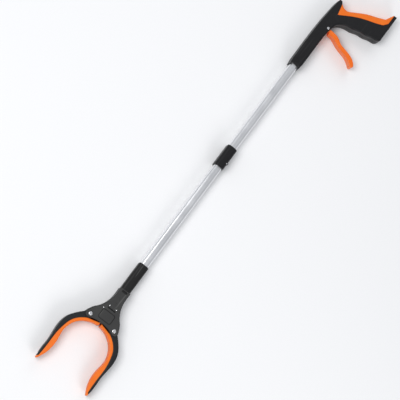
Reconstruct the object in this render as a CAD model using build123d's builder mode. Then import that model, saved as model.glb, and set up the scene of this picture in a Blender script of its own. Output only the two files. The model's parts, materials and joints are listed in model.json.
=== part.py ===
"""Folding reacher grabber, modelled piece by piece in millimetres.

The tool lies on its side: +X runs along the tube towards the handle, -Y is the trigger side,
+Z is up, and z = 0 is the surface it rests on. The origin is under the tube's axis, in the
middle of the fold sleeve. Every hinge axis is parallel to Z.
"""

import math
import os

from build123d import *

os.makedirs("parts", exist_ok=True)

# ---------------------------------------------------------------- driving dimensions
body_depth = 25.0          # thickness of handle, head and fold sleeve, across the resting side
wall = 2.4                 # moulded plastic wall
gap = 0.3                  # free gap between parts that move past each other
pin_play = 0.05            # radial play of a pin in the hole that turns on it

tube_width = 14.0          # aluminium tube, along Y
tube_depth = 16.0          # aluminium tube, along Z
tube_corner = 4.5          # outer corner radius of the tube
tube_wall = 1.0
front_exposed = 201.6      # bare tube between the head and the fold sleeve
rear_exposed = 174.2       # bare tube between the fold sleeve and the handle

cable_radius = 0.8
cable_hole_radius = 2.0

sleeve_front = 12.0        # length of the fold housing on the front tube
sleeve_rear = 28.0         # length of the fold housing on the rear tube
sleeve_width = 18.0
sleeve_corner = 6.0
sleeve_bevel = 1.0
fold_floor = 2.5           # plastic between the tube's end and the seam
fold_plug = 14.0           # how far each housing's plug reaches into its tube
fold_inset = 1.2           # fold axis, in from the sleeve's trigger side
fold_knuckle = 2.4         # knuckle radius
fold_middle = 10.0         # height of the middle knuckle, with its two gaps
fold_pin_radius = 1.2
fold_limit = 150.0         # degrees

handle_socket = 28.0       # depth of tube inside the handle
handle_stop = 10.0         # solid plastic behind the tube's end
handle_round = 3.0         # rounding of the handle's long edges
mouth_scoop = 2.5          # the handle's mouth is hollowed by this much
trigger_width = 15.0       # along Z
trigger_pin_radius = 2.2
trigger_pin_x = 88.0       # from the handle's mouth
trigger_pin_y = -7.6
trigger_hub = 5.6          # radius of the trigger's hub
trigger_arm = 26.9         # from the trigger pin to the cable's cross barrel
trigger_arm_rise = 0.1     # the cross barrel's axis above the trigger pin's, along Y
trigger_swing = 26.0       # degrees of squeeze
barrel_radius = 2.0        # the cable's cross barrel
barrel_offset = 1.0        # the cable leaves the roller this far in front of the barrel's axis
roller_radius = 3.2        # bottom of the guide roller's groove
roller_rim = 4.0
roller_width = 5.0
roller_pin_radius = 1.5

head_socket_width = 17.6
head_socket_depth = 19.6
head_socket_corner = 5.4
head_socket_length = 51.2  # from the head's mouth to the cover's step
head_tube_in = 34.0        # depth of tube inside the head
pivot_x = 113.4            # arm pivots, from the head's mouth towards the jaws
pivot_y = 23.3             # arm pivots, from the tube's axis
pivot_radius = 2.5         # shank of the pivot rivets
rivet_head_radius = 3.2
rivet_head_height = 1.2
arm_hub = 7.5              # radius of the arms around their pivots
arm_tip_depth = 12.0       # thickness of the arms at their tips, along Z
arm_swing = 25.5           # degrees from open to closed
lever_width = 8.6
lever_depth = 4.0
draw_pin_radius = 2.0
draw_pin_x = 4.0           # the draw pin at rest, from the pivots towards the handle
slot_play = 0.25           # side play of the draw pin in the arms' slots
spring_wire = 0.9
spring_radius = 3.6        # middle of the wire
spring_turns = 7

screw_radius = 1.3
screw_head_radius = 2.6
screw_head_height = 1.8
screw_tip = 2.0            # the screws stop this far short of the upper wall

# ---------------------------------------------------------------- places worked out from them
axis_z = body_depth / 2
sleeve_start = -(sleeve_front + sleeve_rear) / 2
seam_x = sleeve_start + sleeve_front
sleeve_end = seam_x + sleeve_rear
fold_y = -(sleeve_width / 2 - fold_inset)
handle_x = sleeve_end + rear_exposed
head_x = sleeve_start - front_exposed
step_x = head_x - head_socket_length
arms_x = head_x - pivot_x
stroke = trigger_arm * math.radians(trigger_swing)
inner_depth = body_depth - 2 * wall
arm_depth = inner_depth - 2 * gap
pin_x = handle_x + trigger_pin_x
barrel_x = pin_x - trigger_arm
barrel_y = trigger_pin_y + trigger_arm_rise
roller_x = barrel_x - roller_radius - cable_radius - barrel_offset
roller_y = -(roller_radius + cable_radius)
draw_x = arms_x + draw_pin_x


def across(x):
    """The plane across the tube at x, with its own x axis along Y and its y axis along Z."""
    return Plane(origin=(x, 0, axis_z), x_dir=(0, 1, 0), z_dir=(1, 0, 0))


def level(z):
    """The horizontal plane at height z."""
    return Plane.XY.offset(z)


# ---------------------------------------------------------------- tubes
front_tube_start = head_x - head_tube_in
front_tube_end = seam_x - fold_floor
rear_tube_start = seam_x + fold_floor
rear_tube_end = handle_x + handle_socket


def tube_between(start, end):
    with BuildPart() as tube:
        with BuildSketch(across(start)):
            RectangleRounded(tube_width, tube_depth, tube_corner)
            RectangleRounded(
                tube_width - 2 * tube_wall,
                tube_depth - 2 * tube_wall,
                tube_corner - tube_wall,
                mode=Mode.SUBTRACT,
            )
        extrude(amount=end - start)
    return tube.part


with BuildPart() as front_tube:
    add(tube_between(front_tube_start, front_tube_end))
front_tube.part.label = "front_tube"
export_step(front_tube.part, "parts/front_tube.step")

with BuildPart() as rear_tube:
    add(tube_between(rear_tube_start, rear_tube_end))
rear_tube.part.label = "rear_tube"
export_step(rear_tube.part, "parts/rear_tube.step")

# ---------------------------------------------------------------- fold sleeve
knuckle_low = body_depth / 2 - fold_middle / 2
knuckle_high = body_depth - knuckle_low
bevel_run = fold_inset / math.tan(math.radians((180 - fold_limit) / 2)) + gap


def housing_blank(outer_x, tube_x, direction):
    """A fold housing without its hinge: sleeve, floor at the seam and plug inside the tube."""
    start, end = min(outer_x, seam_x), max(outer_x, seam_x)
    plug_far = tube_x + direction * fold_plug
    with BuildPart() as blank:
        with BuildSketch(across(start)):
            RectangleRounded(sleeve_width, body_depth, sleeve_corner)
        extrude(amount=end - start)
        rim = blank.faces().sort_by(Axis.X)[0 if direction < 0 else -1]
        chamfer(rim.edges(), sleeve_bevel)
        with BuildSketch(across(min(outer_x, tube_x))):
            RectangleRounded(tube_width, tube_depth, tube_corner)
        extrude(amount=abs(outer_x - tube_x), mode=Mode.SUBTRACT)
        with BuildSketch(across(min(plug_far, tube_x))):
            RectangleRounded(
                tube_width - 2 * tube_wall,
                tube_depth - 2 * tube_wall,
                tube_corner - tube_wall,
            )
        extrude(amount=fold_plug)
        with BuildSketch(across(start - fold_plug)):
            Circle(cable_hole_radius)
        extrude(amount=end - start + 2 * fold_plug, mode=Mode.SUBTRACT)
        # The trigger side falls away from the seam, so that the halves can fold together.
        with BuildSketch(level(0)):
            with BuildLine():
                Polyline(
                    (seam_x, fold_y),
                    (seam_x + direction * bevel_run, fold_y - fold_inset),
                    (seam_x + direction * bevel_run, fold_y - 2 * fold_inset),
                    (seam_x, fold_y - 2 * fold_inset),
                    close=True,
                )
            make_face()
        extrude(amount=body_depth, mode=Mode.SUBTRACT)
    return blank.part


def knuckle_bands(middle):
    """Heights of the knuckles: the middle one, or the outer two."""
    if middle:
        return [(knuckle_low + gap, knuckle_high - gap)]
    return [(sleeve_corner / 2, knuckle_low), (knuckle_high, body_depth - sleeve_corner / 2)]


def housing(outer_x, tube_x, direction, middle):
    with BuildPart() as piece:
        add(housing_blank(outer_x, tube_x, direction))
        with BuildSketch(level(0)):
            with Locations((seam_x, fold_y)):
                Circle(fold_knuckle + gap)
        extrude(amount=body_depth, mode=Mode.SUBTRACT)
        for low, high in knuckle_bands(middle):
            with BuildSketch(level(low)):
                with Locations((seam_x, fold_y)):
                    Circle(fold_knuckle)
                with Locations((seam_x + direction * fold_floor / 2, fold_y + fold_knuckle / 2)):
                    Rectangle(fold_floor, fold_knuckle)
            extrude(amount=high - low)
        with BuildSketch(level(0)):
            with Locations((seam_x, fold_y)):
                Circle(fold_pin_radius + (pin_play if middle else 0))
        extrude(amount=body_depth, mode=Mode.SUBTRACT)
    return piece.part


with BuildPart() as fold_housing_front:
    add(housing(sleeve_start, front_tube_end, -1, True))
fold_housing_front.part.label = "fold_housing_front"
export_step(fold_housing_front.part, "parts/fold_housing_front.step")

with BuildPart() as fold_housing_rear:
    add(housing(sleeve_end, rear_tube_start, 1, False))
fold_housing_rear.part.label = "fold_housing_rear"
export_step(fold_housing_rear.part, "parts/fold_housing_rear.step")

with BuildPart() as fold_pin:
    with BuildSketch(level(sleeve_corner / 2)):
        with Locations((seam_x, fold_y)):
            Circle(fold_pin_radius)
    extrude(amount=body_depth - sleeve_corner)
fold_pin.part.label = "fold_pin"
export_step(fold_pin.part, "parts/fold_pin.step")

# ---------------------------------------------------------------- head shells
neck_step = 0.4            # the cover's neck stands this much wider than the socket, each side
neck_half = head_socket_width / 2 + neck_step
neck_run = 13.0            # the cover's parallel neck, before it flares
cover_round = 1.5
corner_blend = 3.5         # softens each corner of the head's plan view
front_edge = 2.0           # the plates' front edge at the centre, ahead of the pivots
lobe_margin = 0.6          # the plates' radius around the pivots is this much over the hubs'
lobe = arm_hub + lobe_margin
lobe_bulge = (0.82, 0.53)  # middle of the lobe's front, in lobe radii from a pivot
front_corner = 0.78        # corner of the front edge, in lobe radii ahead of a pivot
front_inset = 1.0          # that corner, from the pivots towards the tube's axis
flare_foot = (14.0, 1.5)      # where the flare meets the shoulder, from a pivot
flare_middle = 31.0           # middle of the flare, from the pivots towards the handle
flare_hollow = 0.25           # how far out it lies there, between the neck and the shoulder
shoulder = (7.4, 5.0)         # middle of the shoulder, from a pivot


def head_outline():
    """Plan view of the head's plates: neck, flare, a lobe around each pivot, hollow front edge."""
    neck_end = step_x - neck_run
    foot_x, foot_y = arms_x + flare_foot[0], pivot_y + flare_foot[1]
    middle_y = neck_half + flare_hollow * (foot_y - neck_half)
    front_x, front_y = arms_x - front_corner * lobe, pivot_y - front_inset
    bulge_x, bulge_y = arms_x - lobe_bulge[0] * lobe, pivot_y + lobe_bulge[1] * lobe
    with BuildSketch(level(0)) as outline:
        with BuildLine():
            for side in (1, -1):
                Line((step_x, side * neck_half), (neck_end, side * neck_half))
                ThreePointArc(
                    (neck_end, side * neck_half),
                    (arms_x + flare_middle, side * middle_y),
                    (foot_x, side * foot_y),
                )
                ThreePointArc(
                    (foot_x, side * foot_y),
                    (arms_x + shoulder[0], side * (pivot_y + shoulder[1])),
                    (arms_x, side * (pivot_y + lobe)),
                )
                ThreePointArc(
                    (arms_x, side * (pivot_y + lobe)),
                    (bulge_x, side * bulge_y),
                    (front_x, side * front_y),
                )
            ThreePointArc(
                (front_x, front_y), (arms_x - front_edge, 0), (front_x, -front_y)
            )
            Line((step_x, neck_half), (step_x, -neck_half))
        make_face()
        kinks = outline.vertices().filter_by(lambda point: point.X < neck_end + 1)
        fillet(kinks, corner_blend)
    return outline.sketch


cavity_start = arms_x + 54.0   # back wall of the mechanism's space
past_head = 120.0              # a cutting box this big reaches past the head on every side
open_from = arms_x + 17.0      # the plates stand apart at the sides from here to the jaws

with BuildPart() as head_form:
    with BuildSketch(level(0)):
        add(head_outline())
    extrude(amount=body_depth)
    rims = head_form.faces().filter_by(Axis.Z).edges().filter_by(
        lambda edge: edge.center().X < step_x - 0.1
    )
    fillet(rims, cover_round)

with BuildPart() as head_hollow:
    with BuildSketch(level(wall)):
        add(head_outline())
        offset(amount=-wall, mode=Mode.REPLACE)
        with Locations((cavity_start + past_head / 2, 0)):
            Rectangle(past_head, past_head, mode=Mode.SUBTRACT)
    extrude(amount=inner_depth)
    with BuildSketch(level(wall)):
        with Locations((open_from - past_head / 2, 0)):
            Rectangle(past_head, past_head)
    extrude(amount=inner_depth)

screw_places_head = [(cavity_start + 4.0, side * 5.6) for side in (1, -1)]


with BuildPart() as head_both:
    add(head_form.part)
    add(head_hollow.part, mode=Mode.SUBTRACT)
    for side in (1, -1):
        with BuildSketch(level(0)):
            with Locations((arms_x, side * pivot_y)):
                Circle(pivot_radius)
        extrude(amount=body_depth, mode=Mode.SUBTRACT)
    with BuildSketch(across(cavity_start - 1)):
        Circle(cable_hole_radius)
    extrude(amount=step_x - cavity_start + 2, mode=Mode.SUBTRACT)

panel_depth = 1.2          # depth of the sunken frame and of the bar behind it
panel_x = 11.4             # middle of the frame, from the pivots towards the handle
panel_length = 17.0
panel_width = 24.0
panel_corner = 3.5
panel_groove = 1.0         # width of the sunken frame
bar_x = 24.6               # middle of the bar
bar_length = 2.4
bar_width = 14.5
pocket_x = 59.0            # middle of the pocket in the neck
pocket_length = 4.0
pocket_width = 9.5
with BuildPart() as head_cover:
    add(head_both.part)
    split(bisect_by=level(axis_z), keep=Keep.TOP)
    with BuildSketch(level(body_depth - panel_depth)):
        with Locations((arms_x + panel_x, 0)):
            RectangleRounded(panel_length, panel_width, panel_corner)
        with Locations((arms_x + bar_x, 0)):
            RectangleRounded(bar_length, bar_width, bar_length / 2 - 0.1)
        with Locations((arms_x + pocket_x, 0)):
            RectangleRounded(pocket_length, pocket_width, 1.0)
    extrude(amount=panel_depth, mode=Mode.SUBTRACT)
    with BuildSketch(level(body_depth - panel_depth)):
        with Locations((arms_x + panel_x, 0)):
            RectangleRounded(
                panel_length - 2 * panel_groove,
                panel_width - 2 * panel_groove,
                panel_corner - panel_groove,
            )
    extrude(amount=panel_depth)
    for x, y in screw_places_head:
        with BuildSketch(level(axis_z)):
            with Locations((x, y)):
                Circle(screw_radius)
        extrude(amount=body_depth / 2 - wall, mode=Mode.SUBTRACT)
head_cover.part.label = "head_cover"
export_step(head_cover.part, "parts/head_cover.step")

with BuildPart() as head_body:
    add(head_both.part)
    split(bisect_by=level(axis_z), keep=Keep.BOTTOM)
    with BuildSketch(across(step_x)):
        RectangleRounded(head_socket_width, head_socket_depth, head_socket_corner)
    extrude(amount=head_socket_length)
    mouth = head_body.faces().sort_by(Axis.X)[-1]
    chamfer(mouth.edges(), sleeve_bevel)
    with BuildSketch(across(front_tube_start)):
        RectangleRounded(tube_width, tube_depth, tube_corner)
    extrude(amount=head_tube_in, mode=Mode.SUBTRACT)
    with BuildSketch(across(cavity_start - 1)):
        Circle(cable_hole_radius)
    extrude(amount=front_tube_start - cavity_start + 2, mode=Mode.SUBTRACT)
    for x, y in screw_places_head:
        with BuildSketch(level(0)):
            with Locations((x, y)):
                Circle(screw_radius)
        extrude(amount=axis_z, mode=Mode.SUBTRACT)
        with BuildSketch(level(0)):
            with Locations((x, y)):
                Circle(screw_head_radius)
        extrude(amount=screw_head_height, mode=Mode.SUBTRACT)
head_body.part.label = "head_body"
export_step(head_body.part, "parts/head_body.step")


def screws(places, length):
    """Pan-head screws driven in from the resting side."""
    with BuildPart() as group:
        for x, y in places:
            with BuildSketch(level(gap)):
                with Locations((x, y)):
                    Circle(screw_head_radius)
            extrude(amount=screw_head_height - gap)
            with BuildSketch(level(screw_head_height)):
                with Locations((x, y)):
                    Circle(screw_radius)
            extrude(amount=length)
    return group.part


with BuildPart() as head_screws:
    add(screws(screw_places_head, body_depth - wall - screw_head_height - screw_tip))
head_screws.part.label = "head_screws"
export_step(head_screws.part, "parts/head_screws.step")

for name, side in (("pivot_rivet_left", 1), ("pivot_rivet_right", -1)):
    with BuildPart() as rivet:
        with BuildSketch(level(0)):
            with Locations((arms_x, side * pivot_y)):
                Circle(pivot_radius)
        extrude(amount=body_depth)
        with BuildSketch(level(body_depth)):
            with Locations((arms_x, side * pivot_y)):
                Circle(rivet_head_radius)
        extrude(amount=rivet_head_height)
        fillet(rivet.faces().sort_by(Axis.Z)[-1].edges(), rivet_head_height * 0.8)
    rivet.part.label = name
    export_step(rivet.part, f"parts/{name}.step")

# ---------------------------------------------------------------- jaw arms and pads
arm_out = [(0, 7.5), (-10, 17.0), (-25, 27.0), (-45, 30.0), (-69, 28.0), (-87, 28.4)]
arm_end = (-101.4, 27.6)
pad_tip = [(-104.4, 27.0), (-104.9, 25.2)]
pad_seam = [(-99.5, 25.2), (-88, 24.5), (-74, 24.3), (-60, 24.6), (-46, 23.4), (-35, 21.2)]
pad_seam += [(-25, 17.6), (-14.5, 9.0), (-7.4, -1.5)]
pad_in = [(-99.4, 22.4), (-92.0, 19.2), (-78, 16.0), (-65, 15.9), (-55, 17.3), (-46, 18.2)]
pad_in += [(-35, 16.2), (-24.5, 10.9), (-15.8, 2.5), (-10.4, -7.0)]
pad_end = (-6.9, -21.9)
pad_back = (-2.2, -21.9)


def seen_from(side, points):
    """Points given from a pivot, moved to that pivot; the right side mirrors the left."""
    return [(arms_x + x, side * (pivot_y + y)) for x, y in points]


taper_root = 60.0          # the arm's side view, from the pivots: behind its lever
taper_start = 45.0         # where it starts to thin, ahead of the pivots
taper_end = 110.0          # just past the tips, where it is thinnest
taper_half_width = 80.0    # past both arms at the side


def taper():
    """Side view of an arm: full depth at the root, thinner towards the tip."""
    half, tip_half = arm_depth / 2, arm_tip_depth / 2
    with BuildPart() as wedge:
        with BuildSketch(Plane.XZ.offset(-taper_half_width)):
            with BuildLine():
                Polyline(
                    (arms_x + taper_root, axis_z - half),
                    (arms_x + taper_root, axis_z + half),
                    (arms_x - taper_start, axis_z + half),
                    (arms_x - taper_end, axis_z + tip_half),
                    (arms_x - taper_end, axis_z - tip_half),
                    (arms_x - taper_start, axis_z - half),
                    close=True,
                )
            make_face()
        extrude(amount=2 * taper_half_width)
    return wedge.part


def pad(side):
    """The soft lining of one arm, from its tip to the middle of the jaws."""
    with BuildPart() as lining:
        with BuildSketch(level(axis_z - arm_depth / 2)):
            with BuildLine():
                seam = Spline(*seen_from(side, pad_seam))
                inner = Spline(*seen_from(side, pad_tip[-1:] + pad_in + [pad_end]))
                back = Line(inner @ 1, seen_from(side, [pad_back])[0])
                Line(back @ 1, seam @ 1)
                Polyline(seam @ 0, *seen_from(side, [arm_end] + pad_tip))
            make_face()
        extrude(amount=arm_depth)
        add(taper(), mode=Mode.INTERSECT)
    return lining.part


magnet_radius = 3.0
magnet_height = 2.0
magnet_seat = (-97.0, 28.2)    # outer end of the magnet, from the left pivot
magnet_x, magnet_y = seen_from(1, [magnet_seat])[0]
with BuildPart() as tip_magnet:
    with BuildSketch(Plane(origin=(magnet_x, magnet_y, axis_z), z_dir=(0, -1, 0))):
        Circle(magnet_radius)
    extrude(amount=magnet_height)
tip_magnet.part.label = "tip_magnet"
export_step(tip_magnet.part, "parts/tip_magnet.step")


def drawn_point(share):
    """The draw pin seen from the left arm, when the arm has turned this share of its swing."""
    turn = math.radians(arm_swing) * share
    x, y = draw_pin_x + stroke * share, -pivot_y
    return (
        x * math.cos(turn) + y * math.sin(turn),
        -x * math.sin(turn) + y * math.cos(turn),
    )


def arm(side):
    """One jaw arm: curved outer bar, hub and a lever with the draw pin's slot."""
    lever_low = axis_z + gap if side > 0 else axis_z - gap - lever_depth
    with BuildPart() as bar:
        with BuildSketch(level(axis_z - arm_depth / 2)):
            with BuildLine():
                outer = Spline(*seen_from(side, arm_out + [arm_end]))
                inner = Spline(*seen_from(side, pad_seam))
                Line(outer @ 1, inner @ 0)
                Line(inner @ 1, outer @ 0)
            make_face()
            with Locations((arms_x, side * pivot_y)):
                Circle(arm_hub)
        extrude(amount=arm_depth)
        add(taper(), mode=Mode.INTERSECT)
        add(pad(side), mode=Mode.SUBTRACT)
        if side > 0:
            add(tip_magnet.part, mode=Mode.SUBTRACT)
        first, last = drawn_point(0), drawn_point(1)
        reach = lever_width / 2
        with BuildSketch(level(lever_low)):
            with BuildLine():
                Polyline(
                    *seen_from(
                        side,
                        [(6, 0), (first[0] + reach, -14), (last[0] + reach, last[1] - reach)]
                        + [(first[0] - reach + 1, last[1] - reach), (-1, -14), (-6, 0)],
                    ),
                    close=True,
                )
            make_face()
        extrude(amount=lever_depth)
        slot_width = 2 * (draw_pin_radius + slot_play)
        with BuildSketch(level(lever_low)):
            with BuildLine():
                path = ThreePointArc(*seen_from(side, [drawn_point(n / 2) for n in range(3)]))
            SlotArc(path, slot_width)
        extrude(amount=lever_depth, mode=Mode.SUBTRACT)
        with BuildSketch(level(0)):
            with Locations((arms_x, side * pivot_y)):
                Circle(pivot_radius + pin_play)
        extrude(amount=body_depth, mode=Mode.SUBTRACT)
    return bar.part


for name, side in (("arm_left", 1), ("arm_right", -1)):
    with BuildPart() as jaw_arm:
        add(arm(side))
    jaw_arm.part.label = name
    export_step(jaw_arm.part, f"parts/{name}.step")


for name, side in (("pad_left", 1), ("pad_right", -1)):
    with BuildPart() as lining:
        add(pad(side))
    lining.part.label = name
    export_step(lining.part, f"parts/{name}.step")

# ---------------------------------------------------------------- crosshead, draw pin, spring
crosshead_back = 9.5       # start of the crosshead's bridge, from the draw pin
crosshead_length = 10.0    # bridge
crosshead_width = 9.0
cheek_depth = 2.6
cheek_low = axis_z - gap - lever_depth - gap - cheek_depth
cheek_high = axis_z + gap + lever_depth + gap
spring_start = draw_x + crosshead_back + crosshead_length
spring_end = cavity_start

with BuildPart() as crosshead:
    for low in (cheek_low, cheek_high):
        with BuildSketch(level(low)):
            with Locations((draw_x + crosshead_back / 2, 0)):
                Rectangle(crosshead_back, crosshead_width)
            with Locations((draw_x, 0)):
                Circle(crosshead_width / 2)
        extrude(amount=cheek_depth)
    with BuildSketch(level(cheek_low)):
        with Locations((draw_x + crosshead_back + crosshead_length / 2, 0)):
            Rectangle(crosshead_length, crosshead_width)
    extrude(amount=cheek_high + cheek_depth - cheek_low)
    with BuildSketch(level(cheek_low)):
        with Locations((draw_x, 0)):
            Circle(draw_pin_radius)
    extrude(amount=cheek_high + cheek_depth - cheek_low, mode=Mode.SUBTRACT)
    with BuildSketch(across(spring_start - crosshead_length)):
        Circle(cable_radius)
    extrude(amount=crosshead_length, mode=Mode.SUBTRACT)
crosshead.part.label = "crosshead"
export_step(crosshead.part, "parts/crosshead.step")

with BuildPart() as draw_pin:
    with BuildSketch(level(cheek_low)):
        with Locations((draw_x, 0)):
            Circle(draw_pin_radius)
    extrude(amount=cheek_high + cheek_depth - cheek_low)
draw_pin.part.label = "draw_pin"
export_step(draw_pin.part, "parts/draw_pin.step")

spring_seat = 0.05         # the wire stops this far short of what it presses on
spring_length = spring_end - spring_start - spring_wire - 2 * spring_seat
with BuildPart() as return_spring:
    with BuildLine():
        coil = Helix(
            pitch=spring_length / spring_turns,
            height=spring_length,
            radius=spring_radius,
            center=(spring_start + spring_wire / 2 + spring_seat, 0, axis_z),
            direction=(1, 0, 0),
        )
    with BuildSketch(Plane(origin=coil @ 0, z_dir=coil % 0)):
        Circle(spring_wire / 2)
    sweep(is_frenet=True)
return_spring.part.label = "return_spring"
export_step(return_spring.part, "parts/return_spring.step")

# ---------------------------------------------------------------- cable
cable_gap = 0.1            # each half of the cable stops this short of the fold
rear_cable_end = roller_x - stroke - gap
tail_back = 0.9            # the cable's tail, from the cross barrel's axis towards the roller
tail_short = 1.2           # the tail stops this far short of the roller's axis, along Y


def cable_between(start, end):
    with BuildPart() as run:
        with BuildSketch(across(start)):
            Circle(cable_radius)
        extrude(amount=end - start)
    return run.part


with BuildPart() as cable_front:
    add(cable_between(spring_start - crosshead_length, seam_x - cable_gap))
cable_front.part.label = "cable_front"
export_step(cable_front.part, "parts/cable_front.step")

with BuildPart() as cable_rear:
    add(cable_between(seam_x + cable_gap, rear_cable_end))
cable_rear.part.label = "cable_rear"
export_step(cable_rear.part, "parts/cable_rear.step")

# ---------------------------------------------------------------- handle
# Plan view of the handle, from its mouth on the tube's axis.
barrel_half = 10.2
mouth_half = 8.8
mouth_run = 10.0           # the barrel swells to its full width over this length
hook_top = [(95, 9.6), (122, 7.6), (136, 6.2)]
hook_nose = [(142.2, 4.6), (142.0, 0.2)]
web = [(142.0, 0.2), (135.6, -6.0), (133.4, -13.5), (136.4, -22.0)]
grip_back = [(136.4, -22.0), (144.6, -34.5), (152.6, -48.0), (159.5, -64.0), (165.5, -76.5)]
grip_heel = [(165.5, -76.5), (180.6, -84.2)]
grip_foot = [(180.6, -84.2), (181.0, -90.6), (130.0, -90.6)]
finger_side = [
    (130.0, -90.6),
    (125.6, -86.0),
    (123.8, -76.0),
    (120.4, -66.5),
    (118.8, -55.0),
    (114.8, -44.0),
    (112.2, -31.0),
    (106.6, -20.5),
    (99.5, -14.6),
]
belly = [(99.5, -14.6), (90.0, -12.4), (78.0, -10.9), (66.0, -10.2)]
border_top = [(116.8, -6.6), (146.0, -0.4)]
border = [(116.8, -6.6), (130.2, -27.3), (142.0, -50.6), (150.0, -71.0), (153.6, -78.6)]
border_foot = [(153.6, -78.6), (161.5, -84.6), (184.0, -84.9)]


def at_handle(points):
    """Points given from the handle's mouth, moved to their place."""
    return [(handle_x + x, y) for x, y in points]


with BuildPart() as handle_form:
    with BuildSketch(level(0)) as handle_plan:
        with BuildLine():
            Polyline(*at_handle([belly[-1], (mouth_run, -barrel_half), (0, -mouth_half)]))
            ThreePointArc(*at_handle([(0, -mouth_half), (mouth_scoop, 0), (0, mouth_half)]))
            Line(*at_handle([(0, mouth_half), (mouth_run, barrel_half)]))
            Spline(
                *at_handle([(mouth_run, barrel_half)] + hook_top),
                tangents=[(1, 0), (1, -0.12)],
            )
            Polyline(*at_handle([hook_top[-1]] + hook_nose))
            Spline(*at_handle(web), tangents=[(-0.8, -0.6), (0.55, -0.83)])
            Spline(*at_handle(grip_back), tangents=[(0.55, -0.83), (0.45, -0.9)])
            Polyline(*at_handle(grip_heel))
            Polyline(*at_handle(grip_foot))
            Spline(*at_handle(finger_side))
            Spline(*at_handle(belly), tangents=[(-0.96, 0.25), (-1, 0)])
        make_face()
    extrude(amount=body_depth)
    edges = handle_form.faces().filter_by(Axis.Z).edges()
    fillet(edges, handle_round)

# Inside of the shells, from the handle's mouth.
hollow = [
    (handle_socket + handle_stop, barrel_half - wall),
    (110.0, 6.8),
    (112.0, -8.4),
    (126.6, -28.6),
    (138.0, -51.6),
    (146.0, -72.0),
    (146.8, -76.0),
    (126.6, -76.0),
    (123.2, -66.0),
    (121.4, -54.6),
    (117.4, -43.4),
    (114.8, -30.4),
    (109.4, -19.4),
    (102.6, -12.8),
    (90.0, -9.8),
    (78.0, -8.4),
    (66.0, -7.8),
    (handle_socket + handle_stop, wall - barrel_half),
]
slot_start = -31.5         # trigger slot in the belly, from the trigger pin
slot_end = 11.0
slot_floor = -20.0
insert_screw = (139.0, -82.6)
hook_screw = (121.0, 1.2)
stop_screws = [(handle_socket + handle_stop / 2, side * 5.6) for side in (1, -1)]
screw_places_handle = at_handle(stop_screws + [hook_screw, insert_screw])


def insert_region():
    """Plan view of the soft insert, running past the back of the grip."""
    with BuildSketch(level(0)) as region:
        with BuildLine():
            Line(*at_handle(border_top))
            Polyline(*at_handle([border_top[-1], (190.0, -0.4), (190.0, -84.6), border_foot[-1]]))
            Polyline(*at_handle(border_foot))
            Spline(*at_handle(border), tangents=[(0.5, -0.87), (0.42, -0.9)])
        make_face()
    return region.sketch


with BuildPart() as handle_shells:
    add(handle_form.part)
    with BuildSketch(level(0)):
        add(insert_region())
    extrude(amount=body_depth, mode=Mode.SUBTRACT)
    with BuildSketch(level(wall)):
        with BuildLine():
            Polyline(*at_handle(hollow), close=True)
        make_face()
    extrude(amount=inner_depth, mode=Mode.SUBTRACT)
    with BuildSketch(level(wall)):
        with Locations((roller_x, roller_y)):
            Circle(roller_rim + gap)
    extrude(amount=inner_depth, mode=Mode.SUBTRACT)
    with BuildSketch(across(handle_x)):
        RectangleRounded(tube_width, tube_depth, tube_corner)
    extrude(amount=handle_socket, mode=Mode.SUBTRACT)
    with BuildSketch(across(rear_tube_end - 1)):
        Circle(cable_hole_radius)
    extrude(amount=handle_stop + 2, mode=Mode.SUBTRACT)
    with BuildSketch(level(axis_z - trigger_width / 2 - gap)):
        with BuildLine():
            Polyline(
                (pin_x + slot_start, slot_floor),
                (pin_x + slot_end, slot_floor),
                (pin_x + slot_end, trigger_pin_y),
                (pin_x + slot_start, trigger_pin_y),
                close=True,
            )
        make_face()
    extrude(amount=trigger_width + 2 * gap, mode=Mode.SUBTRACT)
    with BuildSketch(level(0)):
        with Locations((pin_x, trigger_pin_y)):
            Circle(trigger_pin_radius)
    extrude(amount=body_depth, mode=Mode.SUBTRACT)
    with BuildSketch(level(wall / 2)):
        with Locations((roller_x, roller_y)):
            Circle(roller_pin_radius)
    extrude(amount=body_depth - wall, mode=Mode.SUBTRACT)

with BuildPart() as handle_shell_front:
    add(handle_shells.part)
    split(bisect_by=level(axis_z), keep=Keep.TOP)
    with BuildSketch(level(axis_z)):
        with Locations(*screw_places_handle):
            Circle(screw_radius)
    extrude(amount=body_depth / 2 - wall, mode=Mode.SUBTRACT)
handle_shell_front.part.label = "handle_shell_front"
export_step(handle_shell_front.part, "parts/handle_shell_front.step")

with BuildPart() as handle_shell_back:
    add(handle_shells.part)
    split(bisect_by=level(axis_z), keep=Keep.BOTTOM)
    with BuildSketch(level(0)):
        with Locations(*screw_places_handle):
            Circle(screw_radius)
    extrude(amount=axis_z, mode=Mode.SUBTRACT)
    with BuildSketch(level(0)):
        with Locations(*screw_places_handle):
            Circle(screw_head_radius)
    extrude(amount=screw_head_height, mode=Mode.SUBTRACT)
handle_shell_back.part.label = "handle_shell_back"
export_step(handle_shell_back.part, "parts/handle_shell_back.step")

with BuildPart() as handle_screws:
    add(screws(screw_places_handle, body_depth - wall - screw_head_height - screw_tip))
handle_screws.part.label = "handle_screws"
export_step(handle_screws.part, "parts/handle_screws.step")

with BuildPart() as grip_insert:
    add(handle_form.part)
    with BuildSketch(level(0)):
        add(insert_region())
    extrude(amount=body_depth, mode=Mode.INTERSECT)
grip_insert.part.label = "grip_insert"
export_step(grip_insert.part, "parts/grip_insert.step")

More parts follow.
